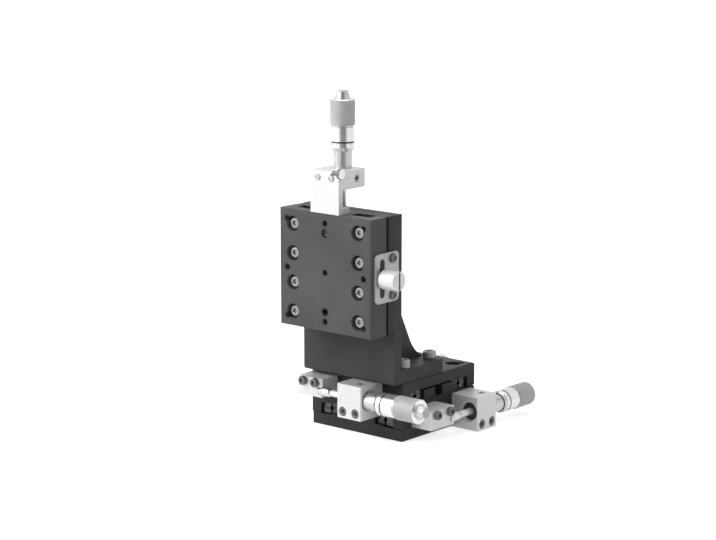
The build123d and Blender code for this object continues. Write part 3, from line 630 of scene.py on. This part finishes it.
def thimble(name, place, body, node):
    """Chrome barrel with a bevelled scale edge, knurled grip and end cap; the bore, the front face and the
    groove are black painted shade.
    """
    bm = bmesh.new()
    chrome, grip, painted_shade, stem = range(4)
    groove_low = GROOVE_AT - GROOVE_WIDTH / 2
    groove_high = GROOVE_AT + GROOVE_WIDTH / 2
    neck = THIMBLE - NECK_DEPTH
    tip = THIMBLE_END + CAP_LENGTH
    cap_end = (CAP_TOP + 0.1, tip - 0.35)
    # Bore and front face in black: painted shade where the thimble meets the sleeve
    add_lathe(bm, [
        (THIMBLE_INSIDE, THIMBLE_BORE_DEPTH), (THIMBLE_INSIDE, 0.1), (THIMBLE_INSIDE + 0.1, 0.0),
        (THIMBLE_EDGE, 0.0), THIMBLE_LIP,
    ], FINE, material=painted_shade)
    add_lathe(bm, [
        THIMBLE_LIP, (THIMBLE - BEVEL_SOFTNESS, BEVEL - BEVEL_SOFTNESS),
        (THIMBLE, BEVEL + BEVEL_SOFTNESS), (THIMBLE, groove_low),
    ], FINE, material=chrome)
    # The groove in black: painted shade
    add_lathe(bm, [
        (THIMBLE, groove_low), (THIMBLE - GROOVE_DEPTH, groove_low + GROOVE_SLOPE),
        (THIMBLE - GROOVE_DEPTH, groove_high - GROOVE_SLOPE), (THIMBLE, groove_high),
    ], FINE, material=painted_shade)
    add_lathe(bm, [
        (THIMBLE, groove_high), (THIMBLE, GRIP_START - 0.7), (neck, GRIP_START - 0.45), (neck, GRIP_START),
    ], FINE, material=chrome)
    add_lathe(bm, [
        (neck, GRIP_START), (GRIP_RADIUS - GRIP_SHOULDER, GRIP_START),
        (GRIP_RADIUS, GRIP_START + GRIP_SHOULDER),
    ], FINE, material=grip)
    grip_low, grip_high = GRIP_START + GRIP_SHOULDER, THIMBLE_END - GRIP_SHOULDER
    add_knurl(bm, GRIP_RADIUS, grip_low, grip_high, KNURL_TEETH, KNURL_DEPTH, material=grip)
    add_lathe(bm, [
        (GRIP_RADIUS, grip_high), (GRIP_RADIUS - GRIP_SHOULDER, THIMBLE_END), (CAP_BASE + 0.6, THIMBLE_END),
        (CAP_BASE + 0.45, THIMBLE_END - CAP_RECESS), CAP_RIM,
    ], FINE, material=chrome)
    add_lathe(bm, [CAP_RIM, (CAP_BASE, THIMBLE_END), cap_end], FINE, material=stem)
    add_lathe(bm, [cap_end, (CAP_TOP - 0.25, tip), (0, tip)], FINE, material=grip)
    bmesh.ops.remove_doubles(bm, verts=bm.verts, dist=MERGE)
    finishes = [CHROME, GRIP, PRINT_AND_SHADE_BLACK, STEM_METAL]
    finish_piece(bm, name, place, body, finishes, [node], THIMBLE_SHARP)

    marks = bmesh.new()
    radius = THIMBLE + INK_LIFT
    bevel_low = (THIMBLE_LIP[0] + INK_LIFT, 0.1)
    bevel_high = (THIMBLE - BEVEL_SOFTNESS + INK_LIFT, BEVEL - BEVEL_SOFTNESS)
    for index in range(TURN_DIVISIONS):
        angle = 2 * math.pi * index / TURN_DIVISIONS
        add_line(marks, angle, 0.2, bevel_low, bevel_high)
        if index % NUMBERED_DIVISION == 0:
            add_line(marks, angle, 0.13, (radius, BEVEL + 0.06), (radius, BEVEL + 0.55))
            add_number(marks, str(index), 1.45, radius, angle, BEVEL + 1.5)
    finish_piece(marks, name + "_scale", place, body, [PRINT_AND_SHADE_BLACK])


def sleeve(name, place, body, node, start, end):
    """Hollow stem, chamfered where it enters the bracket."""
    bm = bmesh.new()
    add_lathe(bm, [
        (STEM_BORE, end), (STEM_BORE, start), (STEM - STEM_CHAMFER, start), (STEM, start + STEM_CHAMFER),
        (STEM, end - STEM_EDGE), (STEM - STEM_EDGE, end), (STEM_BORE, end),
    ], FINE)
    finish_piece(bm, name, place, body, [STEM_METAL], [node])


def sleeve_scale(name, place, body):
    """The stem's running line, half-millimetre marks and numbers."""
    marks = bmesh.new()
    zero = -SCALE_TRAVEL / 2
    radius = STEM + INK_LIFT
    add_line(marks, 0.0, 0.12, (radius, zero - 0.6), (radius, SCALE_TRAVEL / 2))
    for index in range(2 * int(SCALE_TRAVEL) + 1):
        along = zero + index / 2
        length = 1.2 if index % 10 == 0 else 0.8
        side = -1 if index % 2 == 0 else 1
        add_line(marks, side * length / 2 / radius, length, (radius, along - 0.05), (radius, along + 0.05))
        if index % 10 == 0:
            add_number(marks, str(index // 2), 1.1, radius, -1.9 / radius, along)
    finish_piece(marks, name, place, body, [PRINT_AND_SHADE_BLACK])


def bore_seal(name, place, body, start):
    """A black ring round the spindle, in the bracket's bore before the stem's end: painted shade in the bore.
    """
    bm = bmesh.new()
    low, high = start - BORE_SHADE_THICKNESS, start - BORE_SHADE_DROP
    add_lathe(bm, [
        (BORE_SHADE_INSIDE, low), (BORE_SHADE_OUTSIDE, low), (BORE_SHADE_OUTSIDE, high), (BORE_SHADE_INSIDE, high),
        (BORE_SHADE_INSIDE, low),
    ], COARSE)
    finish_piece(bm, name, place, body, [PRINT_AND_SHADE_BLACK])


for axis, along in AXES.items():
    thimble_node = f"{axis}_thimble"
    low, high = box_of(thimble_node)
    centre = (low + high) / 2
    origin = centre + along * (low.dot(along) - centre.dot(along))
    placing = axis_frame(origin, along, SCALE_SIDES[axis].normalized())
    thimble(f"{axis}_thimble_detail", placing, BODY_OF[thimble_node], thimble_node)
    sleeve_node = f"{axis}_micrometer_sleeve"
    sleeve_body = BODY_OF[sleeve_node]
    sleeve_low, sleeve_high = [corner.dot(along) / MM - origin.dot(along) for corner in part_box(sleeve_node)]
    sleeve(f"{axis}_sleeve_detail", placing, sleeve_body, sleeve_node, sleeve_low, sleeve_high)
    if axis in SHADED_BORE_AXES:
        bore_seal(f"{axis}_sleeve_detail_bore_seal", placing, sleeve_body, sleeve_low)
    sleeve_scale(f"{axis}_sleeve_detail_scale", placing, sleeve_body)

# Socket cap screws with fluted heads, in place of the plain ones; sizes are (head, height, shank, reach)
FLUTES = 24
FLUTE_DEPTH = 0.03
SOCKET_WIDTH = 0.54
THREAD_REACH = 3.1
BRACKET_SCREW = (4.8, 2.2, 2.4, 14.9 + THREAD_REACH)
ANVIL_SCREW = (4.8, 2.2, 2.4, 12.8 + THREAD_REACH)
LOCK_SCREW = (4.8, 1.2, 2.4, 1.2 + THREAD_REACH)
RAIL_SCREW = (5.7, 2.8, 2.9, 6.5)
FOOT_SCREW = (7.0, 4.0, 3.9, 12.1)
PLATE_SCREW = (7.0, 3.9, 3.9, 6.2)
TONGUE_SCREW = (4.3, 1.8, 2.4, 4.7)
CLAMP_FACE_SCREW = (3.4, 0.8, 2.4, 3.1)
HALF_TABLE = 30.0
BRACKET_SEAT = HALF_TABLE + 17.5 - 2.6
ANVIL_SEAT = HALF_TABLE + 12.8
PLATE_THICKNESS = 1.2
PLATE_SEAT = HALF_TABLE + PLATE_THICKNESS
STAGE_PITCH = 12.1
Z_MIDDLE = 87.2
Z_PLATE_FACE = -36.5
BRACKET_SCREW_HEIGHT = 3.3
LOCK_SCREW_HEIGHT = 2.8
ANVIL_SCREW_HEIGHT = 13.9
RAIL_SEAT_HEIGHT = 13.9
BLOCK_FACE_HEIGHT = 18.1
LOCK_PLACES = (-9.3, 9.3)
Y_BRACKET_PLACES = (14.0, 22.2)
X_BRACKET_PLACES = (5.5, 13.7)
Y_ANVIL_PLACES = (-18.1, -7.5)
X_ANVIL_PLACES = (-24.6, -16.6)
RAIL_PLACES = [(along, side * 21.25) for along in (-22.5, -7.5, 7.5, 22.5) for side in (-1, 1)]
FOOT_SEAT_HEIGHT = 37.4
FOOT_PLACES = [(side * x, y) for x, y in ((26.2, -24.6), (24.4, -0.8)) for side in (-1, 1)]
PLATE_SCREW_HEIGHT = 1.8
PLATE_PLACES = [(x, z) for x in (-25, 25) for z in (-25, 25)]
TONGUE_SCREW_HEIGHT = 14.7
TONGUE_SCREW_PLACE = 20.0
CLAMP_SCREWS_PLACE = 48.0
CLAMP_SCREWS_ACROSS = (-4.4, 4.4)


def z_face(height):
    """The y of a height above the vertical slide's mounting face."""
    return Z_PLATE_FACE - height


def add_screw(bm, seat, outward, size, material):
    """One cap screw whose head stands on the seat point and whose shank goes back from it."""
    head, height, shank, reach = size
    radius = head / 2
    edge = fluted(radius, FLUTE_DEPTH * head, FLUTES)
    inner = radius * 0.93
    socket = hexagon(head * SOCKET_WIDTH)
    add_lathe(bm, [
        (0, -reach), (shank / 2 - 0.25, -reach), (shank / 2, -reach + 0.25), (shank / 2, 0.0), (inner, 0.0),
        (edge, 0.04 * head), (edge, height - 0.08 * head), (inner - 0.02 * head, height - 0.015 * head),
        (inner - 0.05 * head, height), (head * 0.30, height), (socket, height - 0.04 * head),
        (socket, height * 0.55), (0, height * 0.5),
    ], FINE, turned(seat, outward), material)


def screws(name, node, groups, finishes=(DARK_SCREW,)):
    """All the screws of one node, from (seats, outward, size) groups.

    The first group takes the first finish and so on; the groups left over take the last one.
    """
    bm = bmesh.new()
    for index, (seats, outward, size) in enumerate(groups):
        material = min(index, len(finishes) - 1)
        for seat in seats:
            add_screw(bm, seat, outward, size, material)
    finish_piece(bm, name, SCENE_SCALE, BODY_OF[node], finishes, [node], 30.0)


screws("base_side_screws_detail", "base_side_screws", [
    ([(BRACKET_SEAT, y, BRACKET_SCREW_HEIGHT) for y in Y_BRACKET_PLACES], RIGHT, BRACKET_SCREW),
    ([(-PLATE_SEAT, y, LOCK_SCREW_HEIGHT) for y in LOCK_PLACES], LEFT, LOCK_SCREW),
])
screws("middle_side_screws_detail", "middle_side_screws", [
    (
        [(x, -BRACKET_SEAT, STAGE_PITCH + BRACKET_SCREW_HEIGHT) for x in X_BRACKET_PLACES],
        FRONT, BRACKET_SCREW,
    ),
    ([(x, PLATE_SEAT, STAGE_PITCH + LOCK_SCREW_HEIGHT) for x in LOCK_PLACES], BACK, LOCK_SCREW),
    ([(ANVIL_SEAT, y, ANVIL_SCREW_HEIGHT) for y in Y_ANVIL_PLACES], RIGHT, ANVIL_SCREW),
])
screws("table_side_screws_detail", "table_side_screws", [
    ([(x, -ANVIL_SEAT, STAGE_PITCH + ANVIL_SCREW_HEIGHT) for x in X_ANVIL_PLACES], FRONT, ANVIL_SCREW),
    ([(PLATE_SEAT, z_face(LOCK_SCREW_HEIGHT), Z_MIDDLE + along) for along in LOCK_PLACES], RIGHT, LOCK_SCREW),
])
screws("z_rail_screws_detail", "z_outer_rail_screws", [
    (
        [(across, z_face(RAIL_SEAT_HEIGHT), Z_MIDDLE + along) for along, across in RAIL_PLACES],
        FRONT, RAIL_SCREW,
    ),
], (SCREW,))
screws("x_rail_screws_detail", "x_outer_rail_screws", [
    ([(along, across, STAGE_PITCH + RAIL_SEAT_HEIGHT) for along, across in RAIL_PLACES], UP, RAIL_SCREW),
], (SCREW,))
screws("angle_bracket_screws_detail", "angle_bracket_screws", [
    ([(x, y, FOOT_SEAT_HEIGHT) for x, y in FOOT_PLACES], UP, FOOT_SCREW),
    ([(x, z_face(PLATE_SCREW_HEIGHT), Z_MIDDLE + z) for x, z in PLATE_PLACES], FRONT, PLATE_SCREW),
], (SCREW, DARK_SCREW))
screws("z_bracket_screws_detail", "z_bracket_screws", [
    ([(0, z_face(TONGUE_SCREW_HEIGHT), Z_MIDDLE + TONGUE_SCREW_PLACE)], FRONT, TONGUE_SCREW),
    (
        [(x, z_face(BLOCK_FACE_HEIGHT), Z_MIDDLE + CLAMP_SCREWS_PLACE) for x in CLAMP_SCREWS_ACROSS],
        FRONT, CLAMP_FACE_SCREW,
    ),
], (DARK_SCREW, PALE_SCREW))

# Return springs as real coils
COIL_RADIUS = 2.0
COIL_WIRE = 0.3
COIL_TURNS = 26
COIL_POINTS_A_TURN = 16
COIL_SIDES = 8
COIL_DEPTH = 2.3
COIL_FIXED_GAP = 0.3
HOOK_GAP = 0.6
HOOK_LENGTH = 2.0
HOOK_RISE = 0.4
HOOK_REACH = 4.4
SPRING_OUTWARD = {"x": UP, "y": UP, "z": FRONT}
SPRING_PULL = {"x": 1, "y": 1, "z": -1}


def spring(axis):
    """A closed coil whose far end stays put and whose other end is bent into a hook."""
    node = f"{axis}_return_spring"
    along, out, pull = AXES[axis], SPRING_OUTWARD[axis], SPRING_PULL[axis]
    side = along.cross(out)
    low, high = box_of(node)
    middle = (low + high) / 2
    centre = middle - out * middle.dot(out) + out * (max(low.dot(out), high.dot(out)) - COIL_DEPTH)
    centre = centre - along * centre.dot(along)
    near, far = (high, low) if pull > 0 else (low, high)
    hook_end = near.dot(along) - pull * HOOK_GAP
    coil_end = hook_end - pull * HOOK_LENGTH
    far_end = far.dot(along) + pull * COIL_FIXED_GAP
    points = []
    for index in range(COIL_TURNS * COIL_POINTS_A_TURN + 1):
        share = index / (COIL_TURNS * COIL_POINTS_A_TURN)
        angle = 2 * math.pi * COIL_TURNS * share
        spoke = (out * math.cos(angle) + side * math.sin(angle)) * COIL_RADIUS
        points.append(centre + along * (far_end + (coil_end - far_end) * share) + spoke)
    points.append(centre + along * (coil_end + pull * 0.6) + out * COIL_RADIUS * 0.6)
    points.append(centre + along * (coil_end + pull * 1.3))
    points.append(centre + along * (hook_end - pull * 0.2))
    points.append(centre + along * hook_end - out * HOOK_RISE)
    points.append(centre + along * hook_end - out * HOOK_REACH)
    bm = bmesh.new()
    add_tube(bm, points, COIL_WIRE, COIL_SIDES)
    name = f"{axis}_spring_coil"
    finish_piece(bm, name, SCENE_SCALE, BODY_OF[node], [SPRING], [node], 60.0)


for axis in AXES:
    spring(axis)

# Small pieces: the clamp's screw, the lower hole's bush, and black strips of painted shade: a line on the
# clamp's face, the joint's shadow gaps and the floors of the knobs' slots
CLAMP_FRONT = z_face(BLOCK_FACE_HEIGHT)
CLAMP_SCREW_SEAT = (9.2, CLAMP_FRONT + 0.6, 137.9)
CLAMP_SCREW_SHANK = 1.2
CLAMP_SCREW_REACH = 4.0
CLAMP_SCREW_HEAD = 2.6
CLAMP_SCREW_SIDE = 1.7
CLAMP_SCREW_END = 1.9
# A black line on the clamp's front face: painted shade
SHADE_LINE_DEPTH = 0.1
SHADE_LINE_START = (2.9, CLAMP_FRONT + SHADE_LINE_DEPTH, 135.2)
SHADE_LINE_END = (5.4, CLAMP_FRONT + SHADE_LINE_DEPTH, 138.0)
SHADE_LINE_WIDTH = 0.9
SHADE_LINE_HEIGHT = 0.13
BUSH_SEAT = (0, z_face(BLOCK_FACE_HEIGHT - 0.05), Z_MIDDLE - 20.0)
BUSH_INSIDE = 1.55
BUSH_OUTSIDE = 2.28
BUSH_LENGTH = 3.3
BUSH_EDGE = 0.1
JOINT_HEIGHT = 5.3
JOINT_WIDTH = 1.2
JOINT_THICKNESS = 0.09
JOINT_SINK = 0.05
JOINT_END_GAP = 0.8
JOINT_LOCK_GAP = 0.6
KNOB_HEIGHT = 11.0
KNOB_AXIS_HEIGHT = 10.8
KNOB_SLOT_DEPTH = 0.25
KNOB_SLOT_PLACE = PLATE_SEAT + KNOB_HEIGHT - KNOB_SLOT_DEPTH
KNOB_SLOT_HALF_LENGTH = 4.0
KNOB_SLOT_WIDTH = 1.1
KNOB_SLOT_THICKNESS = 0.1


def clamp_screw():
    """Round-headed screw at the clamp's front right corner, with a dark side and a bright end."""
    bm = bmesh.new()
    place = turned(CLAMP_SCREW_SEAT, RIGHT)
    add_lathe(bm, [
        (0, -CLAMP_SCREW_REACH), (CLAMP_SCREW_SHANK, -CLAMP_SCREW_REACH), (CLAMP_SCREW_SHANK, 0.0),
        (CLAMP_SCREW_HEAD - 0.1, 0.0), (CLAMP_SCREW_HEAD, 0.1), (CLAMP_SCREW_HEAD, CLAMP_SCREW_SIDE),
    ], COARSE, place, material=1)
    add_lathe(bm, [
        (CLAMP_SCREW_HEAD, CLAMP_SCREW_SIDE), (CLAMP_SCREW_HEAD - 0.2, CLAMP_SCREW_END), (0, CLAMP_SCREW_END),
    ], COARSE, place)
    bmesh.ops.remove_doubles(bm, verts=bm.verts, dist=MERGE)
    body = BODY_OF["z_micrometer_bracket"]
    finishes = [CHROME, DARK_SCREW]
    finish_piece(bm, "z_clamp_screw_detail", SCENE_SCALE, body, finishes, (), 30.0)


def flat_strip(name, start, end, width, height, normal, node, finish):
    """A thin black bar with round ends that lies on a face, from start to end, and rides with a node."""
    start, end = Vector(start), Vector(end)
    along = (end - start).normalized()
    side = along.cross(normal)
    outline = []
    for centre, first in ((end, -90), (start, 90)):
        for step in range(9):
            angle = math.radians(first + 22.5 * step)
            outline.append(centre + (along * math.cos(angle) + side * math.sin(angle)) * width / 2)
    bm = bmesh.new()
    low = [bm.verts.new(point) for point in outline]
    high = [bm.verts.new(point + normal * height) for point in outline]
    add_grid(bm, [low, high])
    bm.faces.new(list(reversed(low)))
    bm.faces.new(high)
    finish_piece(bm, name, SCENE_SCALE, BODY_OF[node], [finish], (), 30.0)


def hole_bush():
    """Black ring that narrows the lower counterbored hole in the slide block's face."""
    bm = bmesh.new()
    add_lathe(bm, [
        (BUSH_INSIDE, -BUSH_LENGTH), (BUSH_OUTSIDE, -BUSH_LENGTH), (BUSH_OUTSIDE, -BUSH_EDGE),
        (BUSH_OUTSIDE - BUSH_EDGE, 0.0), (BUSH_INSIDE + BUSH_EDGE, 0.0), (BUSH_INSIDE, -BUSH_EDGE),
        (BUSH_INSIDE, -BUSH_LENGTH),
    ], COARSE, turned(BUSH_SEAT, FRONT))
    bmesh.ops.remove_doubles(bm, verts=bm.verts, dist=MERGE)
    body = BODY_OF["z_slide_block"]
    finish_piece(bm, "z_lower_hole_bush", SCENE_SCALE, body, [BLACK], (), 30.0)


def joint_strips():
    """Near-black strips of painted shadow on the fixed plate's right edge, in the joint next to the slide
    block, above and below the lock.
    """
    plate_low, plate_high = box_of("z_fixed_plate")
    lock_low, lock_high = box_of("z_lock_plate")
    x, y = plate_high.x - JOINT_SINK, z_face(JOINT_HEIGHT)
    spans = {
        "lower": (plate_low.z + JOINT_END_GAP, lock_low.z - JOINT_LOCK_GAP),
        "upper": (lock_high.z + JOINT_LOCK_GAP, plate_high.z - JOINT_END_GAP),
    }
    for name, (start, end) in spans.items():
        flat_strip(
            f"z_{name}_joint_painted_shadow", (x, y, start), (x, y, end), JOINT_WIDTH, JOINT_THICKNESS,
            RIGHT, "z_fixed_plate", SHADOW_GAP_BLACK,
        )


def knob_slot(axis, place, along, outward):
    """A black strip of painted shade on the floor of the slot across a lock knob's end."""
    place = Vector(place)
    reach = along * KNOB_SLOT_HALF_LENGTH
    flat_strip(
        f"{axis}_lock_knob_slot", place - reach, place + reach, KNOB_SLOT_WIDTH, KNOB_SLOT_THICKNESS,
        outward, f"{axis}_lock_knob", PRINT_AND_SHADE_BLACK,
    )


clamp_screw()
# Painted shade: a black line on the clamp's front face
flat_strip("z_clamp_painted_shade_line", SHADE_LINE_START, SHADE_LINE_END, SHADE_LINE_WIDTH, SHADE_LINE_HEIGHT, FRONT, "z_micrometer_bracket", PRINT_AND_SHADE_BLACK)
hole_bush()
joint_strips()
# Painted shade on the floors of the knobs' slots
knob_slot("x", (0.0, KNOB_SLOT_PLACE, STAGE_PITCH + KNOB_AXIS_HEIGHT), RIGHT, BACK)
knob_slot("y", (-KNOB_SLOT_PLACE, 0.0, KNOB_AXIS_HEIGHT), BACK, LEFT)
knob_slot("z", (KNOB_SLOT_PLACE, z_face(KNOB_AXIS_HEIGHT), Z_MIDDLE), UP, RIGHT)
